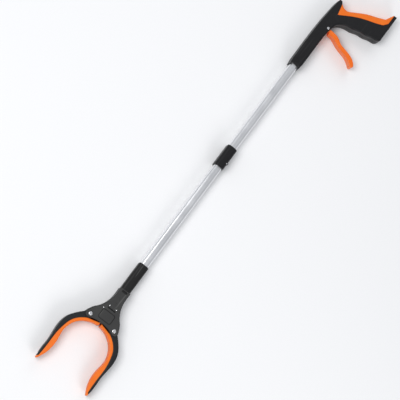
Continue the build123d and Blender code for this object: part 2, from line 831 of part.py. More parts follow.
# ---------------------------------------------------------------- trigger and its pins
# Plan view of the trigger, from its pin.
trigger_rear = [(2.2, -5.0), (2.2, -14.0), (-0.4, -24.5), (-5.4, -32.8), (-8.0, -43.5)]
trigger_rear += [(-10.6, -55.2), (-14.6, -64.6), (-21.4, -71.4)]
trigger_front = [(-26.6, -67.4), (-21.0, -60.0), (-16.8, -50.6), (-14.4, -39.6)]
trigger_front += [(-11.4, -29.8), (-6.6, -18.5), (-6.0, -7.0)]
trigger_tip = (-26.0, -71.6)
arm_top = 4.0              # upper edge of the trigger's forward arm, from its pin
arm_low = 2.6              # lower edge of that arm
lug_radius = 2.6


def at_pin(points):
    """Points given from the trigger pin, moved to their place."""
    return [(pin_x + x, trigger_pin_y + y) for x, y in points]


with BuildPart() as trigger:
    with BuildSketch(level(axis_z - trigger_width / 2)):
        with BuildLine():
            rear = Spline(*at_pin(trigger_rear))
            front = Spline(*at_pin(trigger_front))
            ThreePointArc(rear @ 1, at_pin([trigger_tip])[0], front @ 0)
            Line(front @ 1, rear @ 0)
        make_face()
        with Locations((pin_x, trigger_pin_y)):
            Circle(trigger_hub)
        with Locations((barrel_x, barrel_y)):
            Circle(lug_radius)
        with BuildLine():
            Polyline(
                (pin_x, trigger_pin_y + arm_top),
                (barrel_x, barrel_y + lug_radius),
                (barrel_x, barrel_y - lug_radius),
                (pin_x - trigger_hub, trigger_pin_y - arm_low),
                (pin_x, trigger_pin_y - arm_low),
                close=True,
            )
        make_face()
    extrude(amount=trigger_width)
    with BuildSketch(level(axis_z - roller_width / 2 - gap)):
        with Locations((barrel_x, barrel_y)):
            Rectangle(4 * lug_radius, 3 * lug_radius)
    extrude(amount=roller_width + 2 * gap, mode=Mode.SUBTRACT)
    with BuildSketch(level(0)):
        with Locations((pin_x, trigger_pin_y)):
            Circle(trigger_pin_radius + pin_play)
        with Locations((barrel_x, barrel_y)):
            Circle(barrel_radius)
    extrude(amount=body_depth, mode=Mode.SUBTRACT)
trigger.part.label = "trigger"
export_step(trigger.part, "parts/trigger.step")

with BuildPart() as trigger_pin:
    with BuildSketch(level(gap)):
        with Locations((pin_x, trigger_pin_y)):
            Circle(trigger_pin_radius)
    extrude(amount=body_depth)
    chamfer(trigger_pin.faces().sort_by(Axis.Z)[-1].edges(), gap)
trigger_pin.part.label = "trigger_pin"
export_step(trigger_pin.part, "parts/trigger_pin.step")

with BuildPart() as guide_pin:
    with BuildSketch(level(wall / 2)):
        with Locations((roller_x, roller_y)):
            Circle(roller_pin_radius)
    extrude(amount=body_depth - wall)
guide_pin.part.label = "guide_pin"
export_step(guide_pin.part, "parts/guide_pin.step")

groove_half = cable_radius + 0.2
with BuildPart() as guide_roller:
    for low, high, radius in (
        (-roller_width / 2, -groove_half, roller_rim),
        (-groove_half, groove_half, roller_radius),
        (groove_half, roller_width / 2, roller_rim),
    ):
        with BuildSketch(level(axis_z + low)):
            with Locations((roller_x, roller_y)):
                Circle(radius)
        extrude(amount=high - low)
    with BuildSketch(level(0)):
        with Locations((roller_x, roller_y)):
            Circle(roller_pin_radius + pin_play)
    extrude(amount=body_depth, mode=Mode.SUBTRACT)
guide_roller.part.label = "guide_roller"
export_step(guide_roller.part, "parts/guide_roller.step")

tail_x = barrel_x - tail_back
with BuildPart() as cable_tail:
    with BuildSketch(Plane(origin=(tail_x, barrel_y, axis_z), z_dir=(0, 1, 0))):
        Circle(cable_radius)
    extrude(amount=roller_y - barrel_y - tail_short)
cable_tail.part.label = "cable_tail"
export_step(cable_tail.part, "parts/cable_tail.step")

with BuildPart() as cross_barrel:
    with BuildSketch(level(axis_z - trigger_width / 2)):
        with Locations((barrel_x, barrel_y)):
            Circle(barrel_radius)
    extrude(amount=trigger_width)
    add(cable_tail.part, mode=Mode.SUBTRACT)
cross_barrel.part.label = "cross_barrel"
export_step(cross_barrel.part, "parts/cross_barrel.step")
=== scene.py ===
# %% [markdown]
# # A folding reacher grabber
# The tool lies on its side on a pale table: jaws at the far -X end, handle at the +X end, and
# the trigger on the -Y side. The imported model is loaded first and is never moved. Every piece
# made here is in metres in that same frame, so a place read from the model is used as it is.

import json
import math

import bmesh
import bpy
from mathutils import Matrix, Vector


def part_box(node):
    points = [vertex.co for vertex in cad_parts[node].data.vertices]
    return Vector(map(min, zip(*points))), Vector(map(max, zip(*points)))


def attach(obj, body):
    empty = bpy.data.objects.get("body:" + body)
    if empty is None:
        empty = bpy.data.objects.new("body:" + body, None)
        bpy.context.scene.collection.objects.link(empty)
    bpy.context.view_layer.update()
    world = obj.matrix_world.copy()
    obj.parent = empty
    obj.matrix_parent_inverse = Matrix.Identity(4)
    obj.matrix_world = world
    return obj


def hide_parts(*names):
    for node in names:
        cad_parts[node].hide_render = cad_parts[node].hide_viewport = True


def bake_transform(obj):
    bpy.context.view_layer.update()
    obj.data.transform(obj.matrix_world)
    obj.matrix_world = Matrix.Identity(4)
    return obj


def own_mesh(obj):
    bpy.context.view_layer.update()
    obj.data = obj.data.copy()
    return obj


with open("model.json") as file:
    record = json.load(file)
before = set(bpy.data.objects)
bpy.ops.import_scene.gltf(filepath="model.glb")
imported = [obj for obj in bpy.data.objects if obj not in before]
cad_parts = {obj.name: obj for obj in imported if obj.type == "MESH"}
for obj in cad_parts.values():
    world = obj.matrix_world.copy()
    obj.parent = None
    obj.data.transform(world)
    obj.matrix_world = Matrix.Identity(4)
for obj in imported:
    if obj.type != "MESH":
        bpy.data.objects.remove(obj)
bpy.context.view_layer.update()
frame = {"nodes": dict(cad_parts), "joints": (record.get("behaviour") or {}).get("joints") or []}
MM = 0.001

# %% [markdown]
# ## Places
# Where things are is read from the model's own boxes, so nothing here has to be measured twice.
# The tube's axis is the middle of the front tube, and each pivot is the middle of its rivet.

# %% Places read from the model


def middle(node):
    """The middle of a node's box."""
    low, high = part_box(node)
    return (low + high) / 2


axis_z = middle("front_tube").z
pivots = {side: middle("pivot_rivet_" + side) for side in ("left", "right")}
roller = middle("guide_roller")
barrel = middle("cross_barrel")
fold_pin = middle("fold_pin")
top_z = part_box("head_cover")[1].z
arms_x = pivots["left"].x
print("axis height", round(axis_z / MM, 2), "mm, pivots at", round(arms_x / MM, 1), "mm")

# %% [markdown]
# ## Camera
# A long lens looks down on the tool from a little over two metres, turned so that the tube
# runs from the lower left to the upper right of the picture. The camera is placed from three
# angles: how far round the tool it stands, how high it looks from, and how far it is rolled.

# %% Camera
AROUND, ABOVE, ROLLED = (math.radians(a) for a in (244.84, 74.9, 62.73))
DISTANCE = 2.4
AIM = Vector((-0.0806, -0.0092, axis_z))

back = Vector((
    math.sin(AROUND) * math.cos(ABOVE),
    -math.cos(AROUND) * math.cos(ABOVE),
    math.sin(ABOVE),
))
level_right = Vector((0, 0, 1)).cross(back).normalized()
level_up = back.cross(level_right)
right = level_right * math.cos(ROLLED) + level_up * math.sin(ROLLED)
up = level_up * math.cos(ROLLED) - level_right * math.sin(ROLLED)

camera = bpy.data.objects.new("camera", bpy.data.cameras.new("camera"))
camera.data.lens = 134.3
camera.matrix_world = Matrix((
    (right.x, up.x, back.x, AIM.x + back.x * DISTANCE),
    (right.y, up.y, back.y, AIM.y + back.y * DISTANCE),
    (right.z, up.z, back.z, AIM.z + back.z * DISTANCE),
    (0, 0, 0, 1),
))
bpy.context.scene.collection.objects.link(camera)
bpy.context.scene.camera = camera
print("camera stands at", tuple(round(c, 3) for c in camera.location))

# %% [markdown]
# ## Table and light
# A product picture needs a pale ground and soft light. One large lamp overhead gives the flat
# faces their sheen, a second beyond the jaws on the trigger side makes the bright band along the
# tube, and a weak fill beyond the handle keeps the black plastic from going flat. The world is
# a soft, even, slightly blue grey.

# %% Table and lamps
half_table = 6.0
table = bpy.data.meshes.new("table")
table.from_pydata(
    [(x, y, 0) for x, y in ((-1, -1), (1, -1), (1, 1), (-1, 1))], [], [(0, 1, 2, 3)]
)
table.transform(Matrix.Scale(half_table, 4))
table = bpy.data.objects.new("table", table)
bpy.context.scene.collection.objects.link(table)


def lamp(name, place, size, power, aim=(-0.05, -0.01, 0.0)):
    """A square soft lamp at a place, facing the tool."""
    light = bpy.data.lights.new(name, "AREA")
    light.shape, light.size, light.energy = "SQUARE", size, power
    holder = bpy.data.objects.new(name, light)
    holder.location = place
    holder.rotation_euler = (Vector(aim) - Vector(place)).to_track_quat("-Z", "Y").to_euler()
    bpy.context.scene.collection.objects.link(holder)
    return holder


lamp("overhead", (-0.5, 0.9, 1.9), 1.1, 24)
lamp("tube_band", (-1.1, -1.2, 1.0), 0.8, 9)
lamp("fill", (1.4, 0.2, 0.9), 1.0, 5)

world = bpy.data.worlds.new("studio")
bpy.context.scene.world = world
world.use_nodes = True
world.node_tree.nodes["Background"].inputs["Color"].default_value = (0.93, 0.95, 1.0, 1)
world.node_tree.nodes["Background"].inputs["Strength"].default_value = 0.46
bpy.context.scene.view_settings.view_transform = "Standard"

# %% [markdown]
# ## Finishes
# Every finish is a small node network on Object coordinates, which here are metres in the
# model's frame, so a grain of 0.4 mm has a scale near 2500. A helper places one node and sets
# its sockets, and `grain` gives a noise that can be stretched along a direction.

# %% Node helpers


class Finish:
    """One material and the few calls that build its network."""

    def __init__(self, name, **surface):
        self.material = bpy.data.materials.new(name)
        self.material.use_nodes = True
        self.tree = self.material.node_tree
        self.shader = self.tree.nodes["Principled BSDF"]
        self.place = self.node("ShaderNodeTexCoord").outputs["Object"]
        for socket, value in surface.items():
            self.shader.inputs[socket.replace("_", " ")].default_value = value

    def node(self, kind, settings=(), **sockets):
        made = self.tree.nodes.new(kind)
        for key, value in dict(settings).items():
            setattr(made, key, value)
        for name, value in sockets.items():
            self.feed(made.inputs[name.replace("_", " ")], value)
        return made

    def feed(self, socket, value):
        if isinstance(value, bpy.types.NodeSocket):
            self.tree.links.new(value, socket)
        else:
            socket.default_value = value

    def grain(self, scale, detail=3.0, rough=0.6, stretch=(1, 1, 1)):
        """Noise with features of about 1 / scale metres, longer along small stretch values."""
        spread = self.node("ShaderNodeMapping", Vector=self.place, Scale=stretch)
        noise = self.node("ShaderNodeTexNoise", Vector=spread.outputs[0], Scale=scale)
        noise.inputs["Detail"].default_value = detail
        noise.inputs["Roughness"].default_value = rough
        return noise.outputs[0]

    def remap(self, value, low, high, new_low, new_high):
        made = self.node("ShaderNodeMapRange", Value=value)
        for name, number in (
            ("From Min", low), ("From Max", high), ("To Min", new_low), ("To Max", new_high)
        ):
            made.inputs[name].default_value = number
        return made.outputs[0]

    def mixed(self, share, first, second):
        made = self.node("ShaderNodeMix", {"data_type": "RGBA"})
        self.feed(made.inputs[0], share)
        self.feed(made.inputs[6], first)
        self.feed(made.inputs[7], second)
        return made.outputs[2]

    def plus(self, first, second, weight=1.0):
        made = self.node("ShaderNodeMath", {"operation": "MULTIPLY_ADD"})
        self.feed(made.inputs[0], second)
        self.feed(made.inputs[1], weight)
        self.feed(made.inputs[2], first)
        return made.outputs[0]

    def bump(self, height, distance, strength=1.0):
        made = self.node("ShaderNodeBump", Height=height)
        made.inputs["Distance"].default_value = distance
        made.inputs["Strength"].default_value = strength
        self.feed(self.shader.inputs["Normal"], made.outputs[0])

    def colour(self, value):
        self.feed(self.shader.inputs["Base Color"], value)

    def roughness(self, value):
        self.feed(self.shader.inputs["Roughness"], value)


# %% [markdown]
# ### Moulded plastics
# The handle, the arms and the head are moulded black plastic. Its mould is spark eroded, which
# leaves a fine even grain, and use polishes it in patches and leaves pale hairline scratches.
# The head is greyer than the handle on its flat face. Below that face, down its sides and in its
# recesses, its colour is darkened as painted shade.

# %% Black plastics


def moulded(name, dark, pale, roughness, grain=2600, grit=0.00006, painted_shade_below=None):
    """Fine-grained moulded plastic with worn patches and hairline scratches.

    Below the height given as the last argument, in recesses and down the sides, the colour is
    darkened to a quarter of the dark tone as painted shade. Above it, on the flat top, it keeps
    its own colour, so the top looks lit.
    """
    made = Finish(name, Specular_IOR_Level=0.28)
    fine = made.grain(grain, 2.0)
    patches = made.grain(34, 4.0, 0.55)
    scratches = made.grain(260, 2.0, 0.5, (0.06, 1, 0.5))
    thin = made.remap(scratches, 0.66, 0.70, 0.0, 1.0)
    worn = made.remap(patches, 0.35, 0.7, 0.0, 1.0)
    body = made.mixed(worn, (*dark, 1), (*pale, 1))
    # Painted shade: below the given height the sides and recesses take a quarter of the dark tone.
    if painted_shade_below is not None:
        height = made.node("ShaderNodeSeparateXYZ", Vector=made.place).outputs["Z"]
        flat = made.remap(height, painted_shade_below - 0.0003, painted_shade_below, 0.0, 1.0)
        body = made.mixed(flat, (*[c * 0.25 for c in dark], 1), body)
    made.colour(made.mixed(made.remap(thin, 0, 1, 0, 0.25), body, (*[c * 4 for c in pale], 1)))
    made.roughness(made.plus(made.remap(worn, 0, 1, roughness + 0.07, roughness - 0.05), fine, 0.1))
    made.bump(made.plus(fine, scratches, 0.2), grit)
    return made.material


handle_plastic = moulded("handle_plastic", (0.006, 0.006, 0.007), (0.010, 0.010, 0.011), 0.32)
# The head takes painted shade below the top of its cover, which keeps its own lighter grey.
head_plastic = moulded(
    "head_plastic", (0.030, 0.030, 0.030), (0.044, 0.044, 0.042), 0.40, 2200,
    painted_shade_below=top_z - 0.0001,
)
arm_plastic = moulded("arm_plastic", (0.008, 0.009, 0.010), (0.013, 0.014, 0.015), 0.32, 3000)
print("black plastics made")

# %% [markdown]
# ### Orange rubber and orange plastic
# The pads and the grip insert are soft orange rubber: satin, a little milky, with a pebbled
# skin. The trigger is a harder orange plastic, glossier, with the long faint flow lines that
# a thick moulding shows.

# %% Orange finishes


def rubber(name, pebble):
    """Satin rubber with a pebbled skin and faint blotches."""
    made = Finish(name, Specular_IOR_Level=0.25, Subsurface_Weight=0.05, Subsurface_Scale=0.001)
    cells = made.node("ShaderNodeTexVoronoi", Vector=made.place, Scale=pebble)
    cells.feature = "SMOOTH_F1"
    blotch = made.grain(45, 4.0)
    dust = made.remap(made.grain(420, 5.0), 0.62, 0.75, 0.0, 0.12)
    patchy = made.remap(blotch, 0.3, 0.7, 0, 1)
    warm = made.mixed(patchy, (0.80, 0.150, 0.010, 1), (0.88, 0.190, 0.016, 1))
    made.colour(made.mixed(dust, warm, (0.80, 0.30, 0.10, 1)))
    made.roughness(made.remap(blotch, 0.3, 0.7, 0.40, 0.52))
    made.bump(made.plus(cells.outputs["Distance"], made.grain(3800, 2.0), 0.5), 0.00007, 0.8)
    return made.material


pad_rubber = rubber("pad_rubber", 1500)
grip_rubber = rubber("grip_rubber", 1100)

glossy = Finish(
    "trigger_plastic", Specular_IOR_Level=0.35, Coat_Weight=0.12, Coat_Roughness=0.15
)
flow = glossy.grain(90, 3.0, 0.5, (1, 0.25, 1))
peel = glossy.grain(700, 2.0)
streaks = glossy.remap(flow, 0.3, 0.7, 0, 1)
glossy.colour(glossy.mixed(streaks, (0.84, 0.145, 0.008, 1), (0.91, 0.180, 0.014, 1)))
glossy.roughness(glossy.remap(flow, 0.3, 0.7, 0.24, 0.36))
glossy.bump(glossy.plus(peel, flow, 1.5), 0.00005, 0.7)
trigger_plastic = glossy.material
print("orange finishes made")

# %% [markdown]
# ### Metals
# The tube is drawn aluminium with a very shallow grain along its length. Rivets and pins are
# polished steel, screws are plated, and the cable's wires are drawn steel. All of them are the
# same network with another colour, direction and depth of grain.

# %% Metals


def metal(name, dark, pale, rough, grain, stretch, depth, anisotropic=0.0):
    """Metal with a drawn or turned grain, smudges and a few deeper lines."""
    made = Finish(name, Metallic=1.0, Anisotropic=anisotropic)
    lines = made.grain(grain, 4.0, 0.65, stretch)
    smudge = made.grain(28, 4.0)
    made.colour(made.mixed(made.remap(lines, 0.3, 0.7, 0, 1), (*dark, 1), (*pale, 1)))
    made.roughness(made.plus(made.remap(smudge, 0.3, 0.7, rough - 0.05, rough + 0.05), lines, 0.08))
    made.bump(lines, depth)
    return made.material


tube_aluminium = metal(
    "tube_aluminium", (0.84, 0.85, 0.87), (0.95, 0.955, 0.96), 0.30, 1500, (0.002, 1, 1), 0.0000015
)
rivet_steel = metal(
    "rivet_steel", (0.86, 0.86, 0.87), (0.96, 0.96, 0.96), 0.18, 1800, (1, 1, 0.2), 0.000002
)
screw_steel = metal(
    "screw_steel", (0.42, 0.42, 0.43), (0.62, 0.61, 0.58), 0.3, 2500, (1, 1, 0.3), 0.00001
)
cable_steel = metal(
    "cable_steel", (0.45, 0.46, 0.47), (0.7, 0.7, 0.71), 0.3, 3000, (0.1, 1, 1), 0.00001
)

cast = Finish("natural_nylon", Subsurface_Weight=0.1, Subsurface_Scale=0.001)
cloud = cast.grain(120, 4.0)
cloudy = cast.remap(cloud, 0.3, 0.7, 0, 1)
cast.colour(cast.mixed(cloudy, (0.72, 0.70, 0.62, 1), (0.82, 0.80, 0.74, 1)))
cast.roughness(cast.remap(cloud, 0.3, 0.7, 0.36, 0.48))
cast.bump(cast.grain(2600, 2.0), 0.00003)
natural_nylon = cast.material

paper = Finish("table_paper")
fibre = paper.grain(600, 4.0)
fibrous = paper.remap(fibre, 0.3, 0.7, 0, 1)
paper.colour(paper.mixed(fibrous, (0.86, 0.865, 0.87, 1), (0.9, 0.9, 0.9, 1)))
paper.roughness(paper.remap(fibre, 0.3, 0.7, 0.75, 0.9))
table.data.materials.append(paper.material)
print("metals, nylon and paper made")

# %% [markdown]
# ## Nodes that keep their shape
# The shells, tubes, rivets, pins and sleeve halves already have their real edges in the model,
# so they stay, and only take a finish.

# %% Finishes on the model's own nodes
keeps = {
    "handle_shell_front": handle_plastic,
    "handle_shell_back": handle_plastic,
    "fold_housing_front": handle_plastic,
    "fold_housing_rear": handle_plastic,
    "head_body": head_plastic,
    "head_cover": head_plastic,
    "front_tube": tube_aluminium,
    "rear_tube": tube_aluminium,
    "fold_pin": rivet_steel,
    "trigger_pin": rivet_steel,
    "guide_pin": rivet_steel,
    "pivot_rivet_left": rivet_steel,
    "pivot_rivet_right": rivet_steel,
    "draw_pin": rivet_steel,
    "tip_magnet": rivet_steel,
    "cross_barrel": screw_steel,
    "cable_tail": cable_steel,
    "crosshead": natural_nylon,
    "guide_roller": natural_nylon,
}
for node, material in keeps.items():
    mesh = frame["nodes"][node].data
    mesh.materials.clear()
    mesh.materials.append(material)
print(len(keeps), "nodes keep their shape")

# %% [markdown]
# ## Soft edges
# The arms, pads, trigger and grip insert have generously rounded edges that a cut solid lacks.
# A copy of the node is merged, remeshed into an even skin of small squares, and smoothed. Each
# smoothing pass rounds a corner a little more and leaves a flat face flat, so the number of
# passes sets the radius. A bevel would need clean edge loops, which a tessellated solid has not.

# %% Rounded copies


def plain(obj, name):
    """The object with its modifiers as a plain mesh object at the origin."""
    evaluated = obj.evaluated_get(bpy.context.evaluated_depsgraph_get())
    mesh = bpy.data.meshes.new_from_object(evaluated)
    mesh.name = name
    made = bpy.data.objects.new(name, mesh)
    bpy.context.scene.collection.objects.link(made)
    bpy.data.objects.remove(obj)
    return made


def merged_copy(node, name):
    """A copy of a node's mesh with its loose triangles joined up."""
    mesh = frame["nodes"][node].data.copy()
    form = bmesh.new()
    form.from_mesh(mesh)
    bmesh.ops.remove_doubles(form, verts=form.verts, dist=0.00001)
    form.to_mesh(mesh)
    form.free()
    made = bpy.data.objects.new(name, mesh)
    bpy.context.scene.collection.objects.link(made)
    return made


def softened(node, name, cell, passes, material):
    """A copy of a node as an even skin with its corners rounded."""
    rough = merged_copy(node, name + "_rough")
    skin = rough.modifiers.new("skin", "REMESH")
    skin.mode, skin.voxel_size = "VOXEL", cell
    smooth = rough.modifiers.new("smooth", "SMOOTH")
    smooth.factor, smooth.iterations = 0.5, passes
    made = plain(rough, name)
    made.data.materials.clear()
    made.data.materials.append(material)
    made.data.polygons.foreach_set("use_smooth", [True] * len(made.data.polygons))
    print(name, len(made.data.polygons), "faces")
    return made


def settle(piece, body, slot, *nodes):
    """Says what the piece rides on and which nodes it stands for; `slot`, its finish, is not used.
    """
    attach(piece, body)
    if nodes:
        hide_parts(*nodes)


for side in ("left", "right"):
    settle(
        softened("arm_" + side, "jaw_arm_" + side, 0.0005, 6, arm_plastic),
        "jaw_" + side, "head_plastic", "arm_" + side,
    )
    settle(
        softened("pad_" + side, "jaw_pad_" + side, 0.0005, 14, pad_rubber),
        "jaw_" + side, "soft_orange", "pad_" + side,
    )
settle(
    softened("trigger", "squeeze_trigger", 0.0005, 12, trigger_plastic),
    "trigger", "trigger_orange", "trigger",
)
settle(
    softened("grip_insert", "soft_grip", 0.0006, 8, grip_rubber),
    "handle", "soft_orange", "grip_insert",
)

# %% [markdown]
# ## Pieces that repeat or follow a path
# Screws, studs, the spring, the cable's wires and the moulding's parting line all follow a
# rule, so Geometry Nodes make them. `Grower` builds one tree: named inputs come first, nodes
# are added and linked by name, and the tree always ends in Realize Instances and Set Material.
# The result is turned into a plain mesh of real faces.

# %% A helper that builds a tree and grows a mesh from it


class Grower:
    """One Geometry Nodes tree with named inputs."""

    def __init__(self, name, **inputs):
        self.tree = bpy.data.node_groups.new(name, "GeometryNodeTree")
        face = self.tree.interface
        face.new_socket("Start", in_out="INPUT", socket_type="NodeSocketGeometry")
        self.keys = {}
        for key, value in inputs.items():
            kind = "NodeSocketInt" if isinstance(value, int) else "NodeSocketFloat"
            socket = face.new_socket(key, in_out="INPUT", socket_type=kind)
            socket.default_value = value
            self.keys[key] = socket.identifier
        material = face.new_socket("Material", in_out="INPUT", socket_type="NodeSocketMaterial")
        self.keys["Material"] = material.identifier
        face.new_socket("Grown", in_out="OUTPUT", socket_type="NodeSocketGeometry")
        self.given = self.tree.nodes.new("NodeGroupInput").outputs
        self.start = self.given["Start"]

    def node(self, kind, settings=(), **sockets):
        made = self.tree.nodes.new("GeometryNode" + kind if kind[:6] != "Shader" else kind)
        for key, value in dict(settings).items():
            setattr(made, key, value)
        for name, value in sockets.items():
            self.feed(made.inputs[name.replace("_", " ")], value)
        return made

    def feed(self, socket, value):
        if isinstance(value, str):
            value = self.given[value]
        if isinstance(value, bpy.types.NodeSocket):
            self.tree.links.new(value, socket)
        else:
            socket.default_value = value

    def maths(self, operation, first, second):
        made = self.tree.nodes.new("ShaderNodeMath")
        made.operation = operation
        self.feed(made.inputs[0], first)
        self.feed(made.inputs[1], second)
        return made.outputs[0]

    def vector(self, x=0.0, y=0.0, z=0.0):
        made = self.tree.nodes.new("ShaderNodeCombineXYZ")
        for socket, value in zip(made.inputs, (x, y, z)):
            self.feed(socket, value)
        return made.outputs[0]

    def joined(self, *shapes):
        made = self.node("JoinGeometry")
        for shape in shapes:
            self.tree.links.new(shape, made.inputs[0])
        return made.outputs[0]

    def finish(self, shape):
        real = self.node("RealizeInstances", Geometry=shape).outputs[0]
        painted = self.node("SetMaterial", Geometry=real, Material="Material").outputs[0]
        out = self.tree.nodes.new("NodeGroupOutput")
        self.tree.links.new(painted, out.inputs["Grown"])

    def grow(self, name, start, material, smooth=True, **values):
        """A plain mesh object grown from a start mesh, with these input values."""
        base = bpy.data.objects.new(name + "_start", start)
        bpy.context.scene.collection.objects.link(base)
        modifier = base.modifiers.new("grow", "NODES")
        modifier.node_group = self.tree
        for key, value in dict(values, Material=material).items():
            modifier[self.keys[key]] = value
        made = plain(base, name)
        made.data.polygons.foreach_set("use_smooth", [smooth] * len(made.data.polygons))
        made.data.update()
        print(name, len(made.data.polygons), "faces")
        return made


def points(*places):
    """A mesh of loose points."""
    mesh = bpy.data.meshes.new("points")
    mesh.from_pydata([tuple(place) for place in places], [], [])
    return mesh


def loose_middles(node):
    """The middle of each separate solid in a node, such as every screw of a set."""
    copy = merged_copy(node, node + "_parts")
    form = bmesh.new()
    form.from_mesh(copy.data)
    left, found = set(form.verts), []
    while left:
        reached, edge_of = set(), [left.pop()]
        while edge_of:
            vert = edge_of.pop()
            reached.add(vert)
            for edge in vert.link_edges:
                other = edge.other_vert(vert)
                if other in left:
                    left.remove(other)
                    edge_of.append(other)
        corners = [Vector(f(v.co[n] for v in reached) for n in range(3)) for f in (min, max)]
        found.append((corners[0] + corners[1]) / 2)
    form.free()
    bpy.data.objects.remove(copy)
    return sorted(found, key=lambda place: tuple(place))


# %% [markdown]
# ### Screws
# Six pan-head screws hold the shells together from the resting side. Each has a cross recess
# cut into its head. One screw is built from primitives and a Boolean inside the tree, and is
# instanced on a point for every screw that the model has.

# %% Pan-head screws
head_height = 0.0015
screw = Grower(
    "pan_head_screws",
    head_radius=0.0026, head_height=head_height, shank_radius=0.0013, shank_length=0.0188,
    recess_length=0.0030, recess_width=0.0007, recess_depth=0.0009,
)
rim = screw.node(
    "MeshCylinder", Vertices=40, Radius="head_radius",
    Depth=screw.maths("MULTIPLY", "head_height", 0.55),
).outputs["Mesh"]
rim = screw.node(
    "Transform", Geometry=rim,
    Translation=screw.vector(z=screw.maths("MULTIPLY", "head_height", 0.725)),
).outputs[0]
crown = screw.node(
    "MeshCone", Vertices=40, Radius_Top="head_radius",
    Radius_Bottom=screw.maths("MULTIPLY", "head_radius", 0.74),
    Depth=screw.maths("MULTIPLY", "head_height", 0.45),
).outputs["Mesh"]
cutters = []
for turned in (0, math.pi / 2):
    bar = screw.node(
        "MeshCube",
        Size=screw.vector(
            "recess_length", "recess_width", screw.maths("MULTIPLY", "recess_depth", 2)
        ),
    ).outputs["Mesh"]
    cutters.append(screw.node("Transform", Geometry=bar, Rotation=(0, 0, turned)).outputs[0])
head = screw.node("MeshBoolean", {"operation": "UNION"})
for shape in (rim, crown):
    screw.tree.links.new(shape, head.inputs["Mesh 2"])
cut = screw.node("MeshBoolean", {"operation": "DIFFERENCE"})
screw.tree.links.new(head.outputs["Mesh"], cut.inputs["Mesh 1"])
for shape in cutters:
    screw.tree.links.new(shape, cut.inputs["Mesh 2"])
shank = screw.node(
    "MeshCylinder", Vertices=24, Radius="shank_radius", Depth="shank_length"
).outputs["Mesh"]
shank = screw.node(
    "Transform", Geometry=shank,
    Translation=screw.vector(
        z=screw.maths("ADD", "head_height", screw.maths("MULTIPLY", "shank_length", 0.5))
    ),
).outputs[0]
placed = screw.node(
    "InstanceOnPoints", Points=screw.start, Instance=screw.joined(cut.outputs["Mesh"], shank)
)
screw.finish(placed.outputs[0])

for node, body in (("handle_screws", "handle"), ("head_screws", "front")):
    low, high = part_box(node)
    length = high.z - low.z - head_height
    places = [Vector((place.x, place.y, low.z)) for place in loose_middles(node)]
    group = screw.grow(
        "cross_" + node, points(*places), screw_steel, smooth=False, shank_length=length
    )
    settle(group, body, "screw_steel", node)

# %% [markdown]
# ### Cable
# A pull cable is six wires laid round a seventh. A spiral is drawn once, turned six times
# about the axis, and given a round section. The same tree makes the run in each tube. The
# front run ends one stroke short of the fold, so that no loose end comes out of the tube when
# the tool is folded, and a short bridge carries the cable across the hinge.

# %% Wire rope
rope = Grower("wire_rope", length=0.1, rope_radius=0.0008, lay=0.008, turns_per_lay=9)
wire = rope.maths("DIVIDE", "rope_radius", 3.0)
ring = rope.maths("MULTIPLY", wire, 2.0)
twist = rope.node(
    "CurveSpiral", Resolution="turns_per_lay", Start_Radius=ring, End_Radius=ring,
    Rotations=rope.maths("DIVIDE", "length", "lay"), Height="length",
).outputs[0]
count = rope.node("Points", Count=6, Position=(0, 0, 0)).outputs[0]
index = rope.node("InputIndex").outputs[0]
around = rope.vector(z=rope.maths("MULTIPLY", index, math.pi / 3))
strands = rope.node("InstanceOnPoints", Points=count, Instance=twist, Rotation=around).outputs[0]
strands = rope.node("RealizeInstances", Geometry=strands).outputs[0]
core = rope.node("CurvePrimitiveLine", End=rope.vector(z="length")).outputs[0]
section = rope.node("CurvePrimitiveCircle", Resolution=6, Radius=wire).outputs["Curve"]
body_mesh = rope.node(
    "CurveToMesh", Curve=rope.joined(strands, core), Profile_Curve=section, Fill_Caps=True
).outputs[0]
rope.finish(rope.node("Transform", Geometry=body_mesh, Rotation=(0, math.pi / 2, 0)).outputs[0])


def wire_rope(name, start, end, y=0.0):
    """A straight run of rope from one x to another, at the axis height."""
    run = rope.grow(name, points(), cable_steel, length=end - start)
    run.data.transform(Matrix.Translation((start, y, axis_z)))
    return run


seam_x = fold_pin.x
bridge_half = 0.014
front_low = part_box("cable_front")[0]
rear_low, rear_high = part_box("cable_rear")
stroke = next(j for j in frame["joints"] if j["name"] == "draw")["range_m"][1]
cable_margin = 0.001
bridge_overlap = 0.002
front_end = seam_x - stroke - cable_margin
settle(
    wire_rope("pull_cable_front", front_low.x, front_end), "drawbar", "cable_steel", "cable_front"
)
settle(
    wire_rope("pull_cable_rear", rear_low.x, rear_high.x), "cable_rear", "cable_steel", "cable_rear"
)
bridge = wire_rope("pull_cable_fold", front_end - bridge_overlap, seam_x + bridge_half)
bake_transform(bridge)

# %% [markdown]
# ### Cable over the roller
# Behind the trigger the cable turns a quarter round the roller and drops to the cross barrel.
# A swept circle along an arc is enough here.

# %% Cable bend
cable_radius = 0.0008
wrap = abs(roller.y)          # the cable runs on the axis, so it meets the roller this far out
turn_steps, drop_steps = 14, 8
bend_points = [(rear_high.x, 0.0)]
for step in range(turn_steps + 1):
    angle = math.pi / 2 * (1 - step / turn_steps)
    bend_points.append((roller.x + wrap * math.cos(angle), roller.y + wrap * math.sin(angle)))
for step in range(1, drop_steps + 1):
    bend_points.append((
        roller.x + wrap + (barrel.x - roller.x - wrap - cable_radius) * step / drop_steps,
        roller.y + (barrel.y - roller.y) * step / drop_steps,
    ))
line = bpy.data.curves.new("cable_bend_line", "CURVE")
line.dimensions, line.use_fill_caps = "3D", True
line.bevel_depth, line.bevel_resolution = cable_radius, 4
spline = line.splines.new("POLY")
spline.points.add(len(bend_points) - 1)
for point, (x, y) in zip(spline.points, bend_points):
    point.co = (x, y, axis_z, 1)
line = bpy.data.objects.new("cable_bend_line", line)
bpy.context.scene.collection.objects.link(line)
bend = plain(line, "pull_cable_bend")
bend.data.materials.clear()
bend.data.materials.append(cable_steel)
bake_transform(bend)
print("cable bend has", len(bend.data.polygons), "faces")
